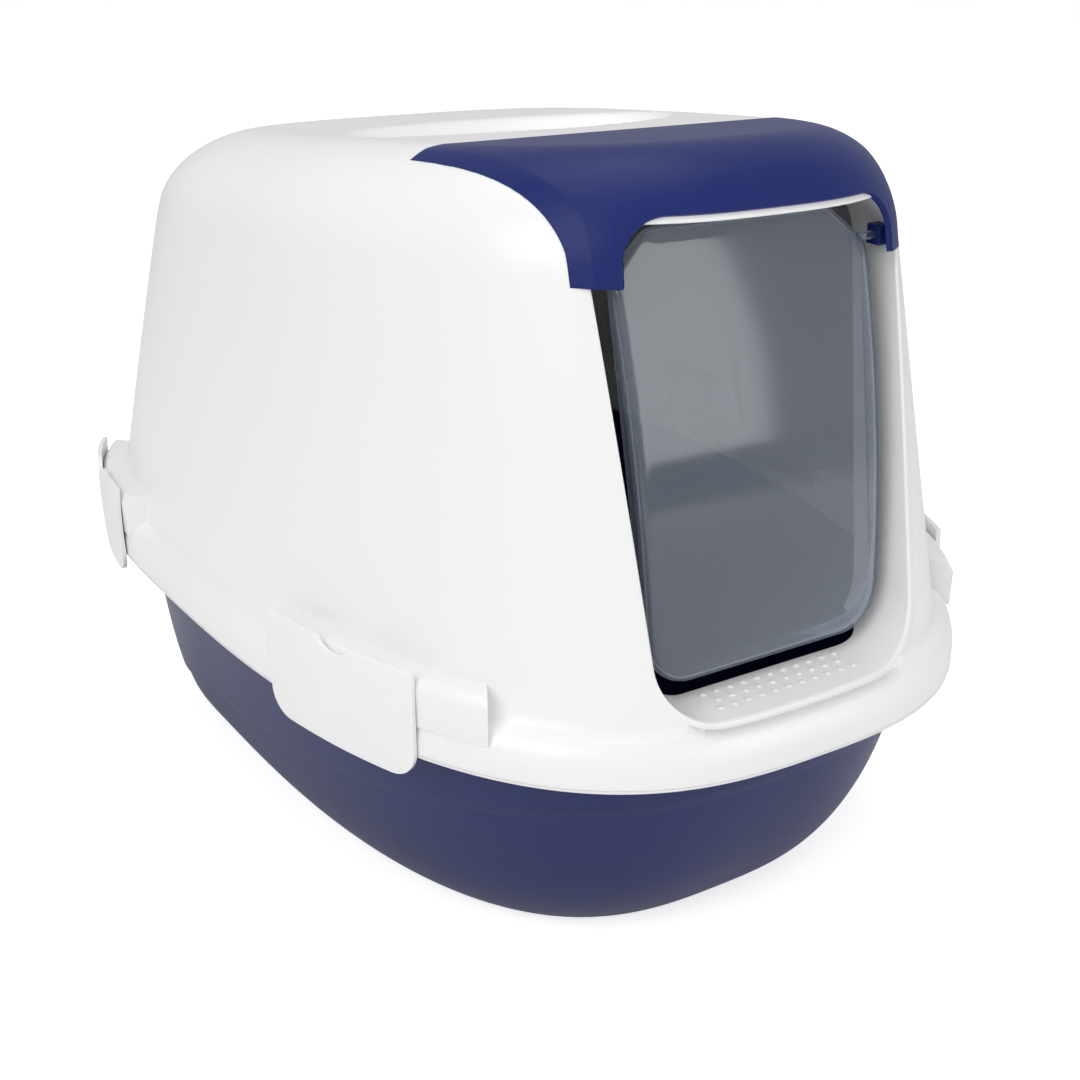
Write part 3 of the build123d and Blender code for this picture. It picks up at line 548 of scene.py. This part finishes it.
# The sill's studs: staggered rows of small domes that keep paws from slipping.
STUD_RADIUS, STUD_HEIGHT, STUD_SUNK, STUD_SIDES = 1.9, 0.9, 0.05, 16
STUD_PITCH, STUD_ROWS, STUD_COLUMNS = 8.2, 3, 11
FIRST_ROW, ROW_SPACING = 0.7, 0.87
turn = np.linspace(0, 2 * math.pi, STUD_SIDES, endpoint=False)
climb = np.radians([0, 25, 50, 72])
dome = np.stack([np.outer(np.cos(climb), np.cos(turn)) * STUD_RADIUS,
                 np.outer(np.cos(climb), np.sin(turn)) * STUD_RADIUS,
                 np.outer(np.sin(climb), np.ones(STUD_SIDES)) * STUD_HEIGHT], -1)
dome_points, dome_faces = closed_rings(dome)
centres = []
for row in range(STUD_ROWS):
    columns = STUD_COLUMNS - row % 2
    x = (np.arange(columns) - (columns - 1) / 2) * STUD_PITCH
    y = SILL_REAR_Y - STUD_PITCH * (FIRST_ROW + ROW_SPACING * row)
    centres.append(np.stack([x, np.full(columns, y), np.full(columns, SILL_Z - STUD_SUNK)], -1))
centres = np.concatenate(centres)
studs = (centres[:, None, :] + dome_points[None]).reshape(-1, 3)
stud_faces = [[corner + i * len(dome_points) for corner in face]
              for i in range(len(centres)) for face in dome_faces]

sill_studs = add_mesh("sill_studs", studs, stud_faces, "hood")

# The recess floor: a flat oval with vent slots over the filter and two small slots that the
# filter holder's tabs come through.
VENT_SLOTS, VENT_PITCH, VENT_WIDTH, VENT_REACH = 9, 12.0, 5.0, 17.0
SNAP_X, SNAP_HALF, SNAP_REACH = 68.5, 1.5, 4.8
FLOOR_LAP, FLOOR_SUNK, FLOOR_WALL = 1.02, 0.1, 2.6
NO_LIMIT = 999
oval = [axis * FLOOR_LAP for axis in RECESS_FLOOR]
vents = (np.arange(VENT_SLOTS) - (VENT_SLOTS - 1) / 2) * VENT_PITCH
cuts = np.concatenate([vents - VENT_WIDTH / 2, vents + VENT_WIDTH / 2,
                       [-SNAP_X - SNAP_HALF, -SNAP_X + SNAP_HALF, SNAP_X - SNAP_HALF,
                        SNAP_X + SNAP_HALF], oval[0] * np.sin(np.radians(np.arange(-89, 90, 4)))])
across = np.unique(np.round(cuts, 3))
half_width = oval[1] * np.sqrt(1 - (across / oval[0]) ** 2)
reach = np.minimum([[0], [SNAP_REACH], [VENT_REACH], [NO_LIMIT], [NO_LIMIT], [NO_LIMIT]],
                   np.outer((0, 0.3, 0.6, 0.75, 0.9, 1.0), half_width))
lines = np.concatenate([-reach[:0:-1], reach])
floor_points = np.stack([np.broadcast_to(across, lines.shape), RECESS_Y + lines,
                         np.full(lines.shape, RECESS_FLOOR_Z - FLOOR_SUNK)], -1)
floor_faces = grid_faces(*lines.shape, around=False)
middle = floor_points.reshape(-1, 3)[floor_faces].mean(1)
row = np.abs(np.arange(lines.shape[0] - 1) - (lines.shape[0] - 2) / 2).repeat(len(across) - 1)
open_vent = (np.abs(middle[:, :1] - vents) < VENT_WIDTH / 2).any(1) & (row < 2)
open_snap = (np.abs(np.abs(middle[:, 0]) - SNAP_X) < SNAP_HALF) & (row < 1)
recess_floor = add_mesh("recess_floor", floor_points, floor_faces[~(open_vent | open_snap)], "hood",
                        smooth=False)
thicken(recess_floor, FLOOR_WALL)


# The blocks that the clips hook over: four thickened stretches of the flange.
STATIONS = {"front": -41.5, "rear": 33.0}
SPAN_REACH, SPAN_STEPS = 40, 800


def rim_span(angle, offsets):
    """The plan's polar angles at given distances along the rim from a station."""
    turn = np.radians(angle + np.linspace(-SPAN_REACH, SPAN_REACH, 2 * SPAN_STEPS + 1))
    x, y = rim_loop(turn, 0.0)
    along = np.concatenate([[0], np.cumsum(np.hypot(np.diff(x), np.diff(y)))])
    return np.interp(offsets, along - along[SPAN_STEPS], turn)


def along_rim(angle, offsets, section):
    """A closed section of (inset, z) points carried along the rim, its ends closed."""
    turn = rim_span(angle, offsets)
    return closed_rings(np.stack([level_ring(turn, inset, z) for inset, z in section], 1))


def mirrored(points, faces):
    """The twin on the other side, with its faces turned back out."""
    return points * (-1, 1, 1), [face[::-1] for face in faces]


BOSS_FRONT, BOSS_REAR = {"front": 91.0, "rear": 58.0}, 58
BOSS_SECTION = ((22.0, 149.0), (-0.2, 149.0), (-0.2, 168.4), (0.0, 169.4), (2.3, 173.3),
                (3.0, 174.0), (22.0, 174.0))
hood_pieces = [hood_shell, entry_frame, sill_lip, sill_studs, recess_floor]
for place, angle in STATIONS.items():
    points, faces = along_rim(angle, np.linspace(-BOSS_FRONT[place], BOSS_REAR, 36), BOSS_SECTION)
    faces = [face[::-1] for face in faces]
    for side in ("right", "left"):
        boss = add_mesh("clip_block_" + place + "_" + side, points, faces, "hood")
        soften(boss, 0.8)
        hood_pieces.append(boss)
        points, faces = mirrored(points, faces)

WHITE_LOW, WHITE_HIGH = (0.87, 0.87, 0.872), (0.905, 0.905, 0.905)
shell_white = moulded("white_polypropylene", WHITE_LOW, WHITE_HIGH, 7.0, 0.24, 0.10, 1200.0, 0.06)
for piece in hood_pieces:
    paint(piece, shell_white)


# The visor: a separate navy cap pressed into the hood over the entry, with a fine leather
# grain, turned down edges at its sides and two short legs that carry the door's sockets.
def hood_point(turn, level, inset):
    """A point of the hood's skin. level 0 to 1 climbs the wall's top and the roof's edge,
    1 to 2 crosses the flat roof towards its middle."""
    height = shoulder + (HOOD_HEIGHT - shoulder) * np.sin(np.clip(level, 0, 1) * math.pi / 2)
    half, front, rear = hood_sizes(height, inset)
    shrink = 2 - np.clip(level, 1, 2)
    x, y = egg(turn, half * shrink, WIDEST_Y + (front - WIDEST_Y) * shrink,
               WIDEST_Y + (rear - WIDEST_Y) * shrink)
    z = WALL_FOOT_Z + height - inset * np.clip(level, 0, 1) - roof_tilt(height) * (y - ROOF_Y)
    return x, y, z


stations = np.concatenate([np.linspace(0, 54, 19), np.linspace(56, 76.3, 14), [76.49, 76.51],
                           np.linspace(78, 86, 5), [86.8, 87.2], np.linspace(88, 93.98, 7)])
stations = np.concatenate([-stations[:0:-1], stations]) / VISOR_FRONT[0]
WALL_LEVELS, ROOF_LEVELS = 260, 200
levels = np.concatenate([np.linspace(0.0, 1, WALL_LEVELS), np.linspace(1.002, 1.75, ROOF_LEVELS)])
share, level = np.meshgrid(stations, levels)
proud = VISOR_PROUD + VISOR_SIDE_PROUD * np.clip((1 - level) / 0.4, 0, 1)
proud = proud * np.clip((1 - np.abs(share)) * VISOR_FRONT[0] / VISOR_EDGE, 0.1, 1)

# Each station's polar angle on each level is found by halving the span from the front's middle
# to well round the side.
FRONT_TURN, SIDE_TURN, HALVINGS = -math.pi / 2, -0.15, 34
low_turn = np.full(share.shape, FRONT_TURN)
high_turn = np.full(share.shape, SIDE_TURN)
for _ in range(HALVINGS):
    turn = (low_turn + high_turn) / 2
    x, y, _z = hood_point(turn, level, -proud)
    beyond = x > np.abs(share) * visor_half(y)
    high_turn = np.where(beyond, turn, high_turn)
    low_turn = np.where(beyond, low_turn, turn)
x, y, z = hood_point(low_turn, level, -proud)
x = x * np.sign(share)
low_z = visor_low(stations * VISOR_FRONT[0])
VISOR_ROWS, VISOR_BROW_Z = (40, 34), 381.5
columns = []
for k in range(len(stations)):
    line = np.stack([x[:, k], y[:, k], z[:, k]], -1)
    along = np.concatenate([[0], np.cumsum(np.linalg.norm(np.diff(line, axis=0), axis=1))])
    first, brow = np.interp((low_z[k], VISOR_BROW_Z), line[:WALL_LEVELS, 2], along[:WALL_LEVELS])
    last = np.interp(VISOR_REAR[1], line[:, 1], along)
    at = np.concatenate([np.linspace(first, brow, VISOR_ROWS[0]),
                         np.linspace(brow, last, VISOR_ROWS[1])[1:]])
    columns.append(np.stack([np.interp(at, along, line[:, axis]) for axis in range(3)], -1))
visor_points = np.stack(columns, 1)
visor_cap = add_mesh("visor_cap", visor_points, grid_faces(*visor_points.shape[:2], around=False),
                     "hood")
thicken(visor_cap, VISOR_WALL)
soften(visor_cap, 0.6, 2)
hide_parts("visor")

SOCKET_DEPTH, SOCKET_RADIUS = 9.0, 4.9
SOCKET_GAP, SOCKET_BEHIND, SOCKET_RISE, SOCKET_FOOT = 1.5, 1.2, 5, 0.2
visor_pieces = [visor_cap]
for side, sign in (("right", 1), ("left", -1)):
    outer = sign * (ARCH_HALF + SOCKET_DEPTH)
    left, right = sorted((sign * (ARCH_HALF + SOCKET_GAP), outer))
    skin_y = float(front_y(np.array([outer]), np.array([PIVOT_Z + SOCKET_RISE]))[0])
    low = (left, skin_y + SOCKET_BEHIND, VISOR_FOOT_Z + SOCKET_FOOT)
    high = (right, PIVOT_Y + SOCKET_RADIUS, PIVOT_Z + SOCKET_RADIUS)
    socket = add_mesh("door_socket_" + side, *box_mesh(low, high), "hood", smooth=False)
    soften(socket, 0.8)
    visor_pieces.append(socket)

leather = Finish(bpy.data.materials.new("navy_leather_grain"))
cloud = leather.noise(14.0, 3.0)
pebble = leather.node("ShaderNodeTexVoronoi", {"feature": "SMOOTH_F1"},
                      {"Vector": leather.place, "Scale": 720.0, "Smoothness": 0.6})
fine = leather.noise(1500.0, 3.0)
speck = leather.node("ShaderNodeValToRGB", {"stops": ((0.70, (0, 0, 0, 1)), (0.78, (1, 1, 1, 1)))},
                     {0: leather.noise(420.0, 2.0)})
grainy_navy = leather.surface(
    Base_Color=leather.tint((0.007, 0.017, 0.120), (0.012, 0.024, 0.150), cloud + 0.35 * speck),
    Roughness=0.34 + 0.10 * cloud,
    Specular_IOR_Level=0.22,
    Normal=leather.bump(pebble + 0.5 * fine, 0.30, 0.00018))
for piece in visor_pieces:
    paint(piece, grainy_navy)


# The swing door: a clear, slightly smoky pane moulded as a shallow dish, bowed outwards, its
# soft edge turned back all round, with a pin at each shoulder that turns in the visor.
# Its sizes are about the pins' line, before it is hung.
DOOR_TOP, DOOR_FOOT = 16.0, -193.0
PIN_RADIUS, PIN_EASE, PIN_SIDES = 2.2, 0.6, 32
PIN_ROOT_X, PIN_TIP_X = 68.0, 83.0
DOOR = both_sides(((70.0, DOOR_FOOT, 24.0), (74.0, -PIN_RADIUS, 14.0), (52.0, DOOR_TOP, 12.0)))
DOOR_BOW, DOOR_RIM, DOOR_BACK, DOOR_EDGE, DOOR_WALL = 8.0, 2.9, 2.6, 5.0, 1.8
DOOR_BRIM = 0.3
DOOR_POINTS, PANE_ROWS = 360, 30
middle = (DOOR_TOP + DOOR_FOOT) / 2
half = (DOOR_TOP - DOOR_FOOT) / 2
bow_radius = (half ** 2 + DOOR_BOW ** 2) / (2 * DOOR_BOW)
outline = evenly(rounded(DOOR, 14), DOOR_POINTS)
normal = outward(outline)


def bow(z):
    """The pane's front: a shallow arc about a level axis, deepest at half its height."""
    sag = bow_radius - np.sqrt(bow_radius ** 2 - (z - middle) ** 2)
    return DOOR_BACK - DOOR_RIM - DOOR_BOW + sag


edge_radius = np.minimum(DOOR_EDGE, DOOR_BACK - bow(outline[:, 1]) - DOOR_BRIM)
rows = [np.stack([outline[:, 0], np.full(DOOR_POINTS, DOOR_BACK), outline[:, 1]], -1)]
for angle in np.radians(np.linspace(90, 0, 9)):
    drawn = outline - normal * (edge_radius * (1 - math.sin(angle)))[:, None]
    rows.append(np.stack([drawn[:, 0], bow(outline[:, 1]) + edge_radius * (1 - math.cos(angle)),
                          drawn[:, 1]], -1))
inner = drawn
heart = np.array((0.0, middle))
for shrink in np.linspace(0.96, 0.03, PANE_ROWS):
    drawn = heart + (inner - heart) * shrink
    rows.append(np.stack([drawn[:, 0], bow(drawn[:, 1]), drawn[:, 1]], -1))
rings = np.stack(rows)
points = np.concatenate([rings.reshape(-1, 3), rings[-1].mean(0)[None]])
faces = grid_faces(*rings.shape[:2]).tolist()
ring = np.arange(DOOR_POINTS)
last = (len(rows) - 1) * DOOR_POINTS
after = last + (ring + 1) % DOOR_POINTS
faces += np.stack([last + ring, after, np.full(DOOR_POINTS, len(points) - 1)], -1).tolist()


def hung(points):
    """Leans door points, given about the pivot, forward at the foot and puts them in place."""
    c, s = math.cos(DOOR_TILT), math.sin(DOOR_TILT)
    x, y, z = points.T
    return np.stack([x, PIVOT_Y + c * y + s * z, PIVOT_Z - s * y + c * z], -1)


def hinge_pin(name, x_low, x_high):
    """A round pin along X on the pivot's line, from x_low to x_high, with eased ends."""
    turn = np.linspace(0, 2 * math.pi, PIN_SIDES, endpoint=False)
    thin = PIN_RADIUS - PIN_EASE
    ends = ((x_low, thin), (x_low + PIN_EASE, PIN_RADIUS), (x_high - PIN_EASE, PIN_RADIUS),
            (x_high, thin))
    rings = [np.stack([np.full(PIN_SIDES, x), PIVOT_Y + radius * np.cos(turn),
                       PIVOT_Z + radius * np.sin(turn)], -1) for x, radius in ends]
    return add_mesh(name, *closed_rings(np.stack(rings)), "door")


door_pane = add_mesh("door_pane", hung(points), faces, "door")
thicken(door_pane, DOOR_WALL)
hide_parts("swing_door")
door_pieces = [door_pane]
for side, x_low, x_high in (("right", PIN_ROOT_X, PIN_TIP_X), ("left", -PIN_TIP_X, -PIN_ROOT_X)):
    pin = hinge_pin("door_pin_" + side, x_low, x_high)
    door_pieces.append(pin)

clear = Finish(bpy.data.materials.new("clear_polycarbonate"))
haze = clear.noise(6.0, 2.0)
grazing = clear.node("ShaderNodeLayerWeight", {}, {"Blend": 0.25}, 0)
clear_plastic = clear.surface(
    Base_Color=clear.tint((0.26, 0.32, 0.42), (0.32, 0.38, 0.47), haze),
    Roughness=0.05 + 0.04 * haze,
    IOR=2.6,
    Specular_IOR_Level=0.5,
    Alpha=0.20 + 0.6 * grazing)
for piece in door_pieces:
    paint(piece, clear_plastic)


# The clips: four white polypropylene plates, curved with the rim and rounded at their feet,
# each hinged on pins under the pan's rim and hooked over a block of the hood.
CLIP_HALF, CLIP_FOOT_Z, CLIP_TOP_Z, CLIP_CORNER = 51.0, 121.0, 178.0, 14.0
CLIP_FACE, CLIP_WALL, CLIP_BULGE = -3.6, 2.6, 1.0
NOTCH_RADIUS, NOTCH_DEPTH = 15.0, 6.0
CLIP_PIVOT_Z, CLIP_PIVOT_INSET, ARM_SPACING, ARM_WIDTH = 126.0, 4.0, 16.0, 5.0
CLIP_ROWS = 16

bend = CLIP_CORNER * (1 - np.cos(np.radians(np.arange(0, 91, 9))))
across = np.unique(np.concatenate([np.linspace(-CLIP_HALF, CLIP_HALF, 61), CLIP_HALF - bend,
                                   bend - CLIP_HALF, np.linspace(-12, 12, 25)]).round(3))
into = np.clip(np.abs(across) - (CLIP_HALF - CLIP_CORNER), 0, CLIP_CORNER)
foot = CLIP_FOOT_Z + CLIP_CORNER - np.sqrt(CLIP_CORNER ** 2 - into ** 2)
chord = NOTCH_RADIUS ** 2 - across ** 2
notch = np.where(chord > 0, np.sqrt(np.maximum(chord, 0)) - (NOTCH_RADIUS - NOTCH_DEPTH), 0)
head = CLIP_TOP_Z - np.maximum(notch, 0)
clip_white = moulded("clip_white", WHITE_LOW, WHITE_HIGH, 16.0, 0.28, 0.10, 1400.0, 0.07)

# An arm's section, as (inset, z): it leaves the plate's back and ends round about its pin.
ARM_ROOT = CLIP_FACE + 1.8
ARM_SECTION = ((ARM_ROOT, 123.2), (CLIP_PIVOT_INSET, 122.8), (CLIP_PIVOT_INSET + 2.3, 123.7),
               (CLIP_PIVOT_INSET + 3.2, CLIP_PIVOT_Z), (CLIP_PIVOT_INSET + 2.3, 128.3),
               (CLIP_PIVOT_INSET, 129.2), (ARM_ROOT, 128.8))
for place, angle in STATIONS.items():
    turn = rim_span(angle, across)
    rows = []
    for share in np.linspace(0, 1, CLIP_ROWS):
        z = foot + (head - foot) * share
        swell = CLIP_BULGE * (1 - (2 * (z - CLIP_FOOT_Z) / (CLIP_TOP_Z - CLIP_FOOT_Z) - 1) ** 2)
        rows.append(np.stack([*rim_loop(turn, CLIP_FACE - swell + CLIP_BULGE), z], -1))
    plate = np.stack(rows)
    faces = grid_faces(*plate.shape[:2], around=False).tolist()
    points = plate.reshape(-1, 3)
    arms = [along_rim(angle, np.linspace(v - ARM_WIDTH / 2, v + ARM_WIDTH / 2, 3), ARM_SECTION)
            for v in (-ARM_SPACING, ARM_SPACING)]
    arms = [(arm, [face[::-1] for face in arm_faces]) for arm, arm_faces in arms]
    for side in ("right", "left"):
        name = "clip_" + place + "_" + side
        lever = add_mesh(name + "_plate", points, faces, name)
        thicken(lever, CLIP_WALL)
        soften(lever, 0.9)
        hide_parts(name)
        paint(lever, clip_white)
        for count, (arm, arm_faces) in enumerate(arms):
            hinge_arm = add_mesh(name + "_arm_" + str(count + 1), arm, arm_faces, name)
            paint(hinge_arm, clip_white)
        points, faces = mirrored(points, faces)
        arms = [mirrored(*arm) for arm in arms]


# The filter: a white open tray of polypropylene that snaps under the recess, and the charcoal
# felt pad that lies loose in it. Both show as they are in the frame.
tray_white = moulded("tray_white", (0.72, 0.73, 0.74), (0.78, 0.785, 0.79),
                     20.0, 0.35, 0.10, 1400.0, 0.10)
paint(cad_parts["filter_holder"], tray_white)

felt = Finish(bpy.data.materials.new("charcoal_felt"))
fibre = felt.noise(800.0, 6.0, 0.7)
charcoal = felt.surface(
    Base_Color=felt.tint((0.012, 0.012, 0.013), (0.05, 0.05, 0.052), fibre),
    Roughness=0.85 + 0.1 * fibre,
    Specular_IOR_Level=0.2,
    Normal=felt.bump(fibre, 0.6, 0.0006))
paint(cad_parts["filter_pad"], charcoal)


# The studio: a white floor that fades into a white surround, a large soft light on the left,
# a fill on the right and an overhead panel, and the camera of the product shot.
REACH = 6
ground = bpy.data.meshes.new("studio_floor")
ground.from_pydata([(-REACH, -REACH, 0), (REACH, -REACH, 0), (REACH, REACH, 0), (-REACH, REACH, 0)],
                   [], [(0, 1, 2, 3)])
studio_floor = bpy.data.objects.new("studio_floor", ground)
bpy.context.scene.collection.objects.link(studio_floor)

floor_paint = Finish(bpy.data.materials.new("floor_white"))
looked_at = floor_paint.node("ShaderNodeLightPath", {}, {}, "Is Camera Ray")
matt = floor_paint.node("ShaderNodeBsdfDiffuse", {}, {"Color": (0.93, 0.93, 0.93, 1)})
glow = floor_paint.node("ShaderNodeEmission", {}, {"Color": (1, 1, 1, 1), "Strength": 0.64})
lit = floor_paint.node("ShaderNodeAddShader", {}, {0: matt, 1: glow})
paint(studio_floor, floor_paint.close(
    floor_paint.node("ShaderNodeMixShader", {}, {0: looked_at, 1: matt, 2: lit})))

sky = Finish(bpy.data.worlds.new("studio"))
bpy.context.scene.world = sky.material
rays = sky.node("ShaderNodeLightPath", {}, {}, "Is Camera Ray")
through = sky.node("ShaderNodeLightPath", {}, {}, "Is Transmission Ray")
strength = 0.47 + 0.53 * (rays + through)
surround = sky.node("ShaderNodeBackground", {}, {"Color": (1, 1, 1, 1), "Strength": strength})
sky.close(surround, "ShaderNodeOutputWorld")


def soft_light(name, place, aim, size, power):
    """A square area light at place, turned to look at aim; metres and watts."""
    lamp = bpy.data.lights.new(name, "AREA")
    lamp.shape = "RECTANGLE"
    lamp.size, lamp.size_y = size
    lamp.energy = power
    light = bpy.data.objects.new(name, lamp)
    light.location = place
    light.rotation_euler = (Vector(aim) - Vector(place)).to_track_quat("-Z", "Y").to_euler()
    bpy.context.scene.collection.objects.link(light)
    return light


LIT_POINT = (0, 0, 0.2)
soft_light("key_left", (-1.9, -1.0, 1.5), LIT_POINT, (1.5, 1.5), 21.0)
soft_light("fill_front", (0.9, -2.2, 0.9), LIT_POINT, (1.2, 1.4), 11.0)
soft_light("overhead", (0.0, 0.1, 2.2), LIT_POINT, (1.8, 1.8), 14.0)

camera = bpy.data.cameras.new("product_shot")
camera.sensor_width = 36.0
camera.lens = 48.26
camera.shift_x = -0.0013
camera.shift_y = 0.0219
shot = bpy.data.objects.new("product_shot", camera)
CAMERA_PLACE = (-0.4196, -0.7105, 0.4930)
CAMERA_VIEW = (0.4769, 0.7784, -0.4082)
CAMERA_UP = (0.2097, 0.3503, 0.9129)
view = Vector(CAMERA_VIEW).normalized()
right = view.cross(Vector(CAMERA_UP)).normalized()
up = right.cross(view)
shot.matrix_world = Matrix((
    (right.x, up.x, -view.x, CAMERA_PLACE[0]),
    (right.y, up.y, -view.y, CAMERA_PLACE[1]),
    (right.z, up.z, -view.z, CAMERA_PLACE[2]),
    (0, 0, 0, 1)))
bpy.context.scene.collection.objects.link(shot)
bpy.context.scene.camera = shot
bpy.context.scene.view_settings.view_transform = "Standard"

bpy.context.view_layer.update()
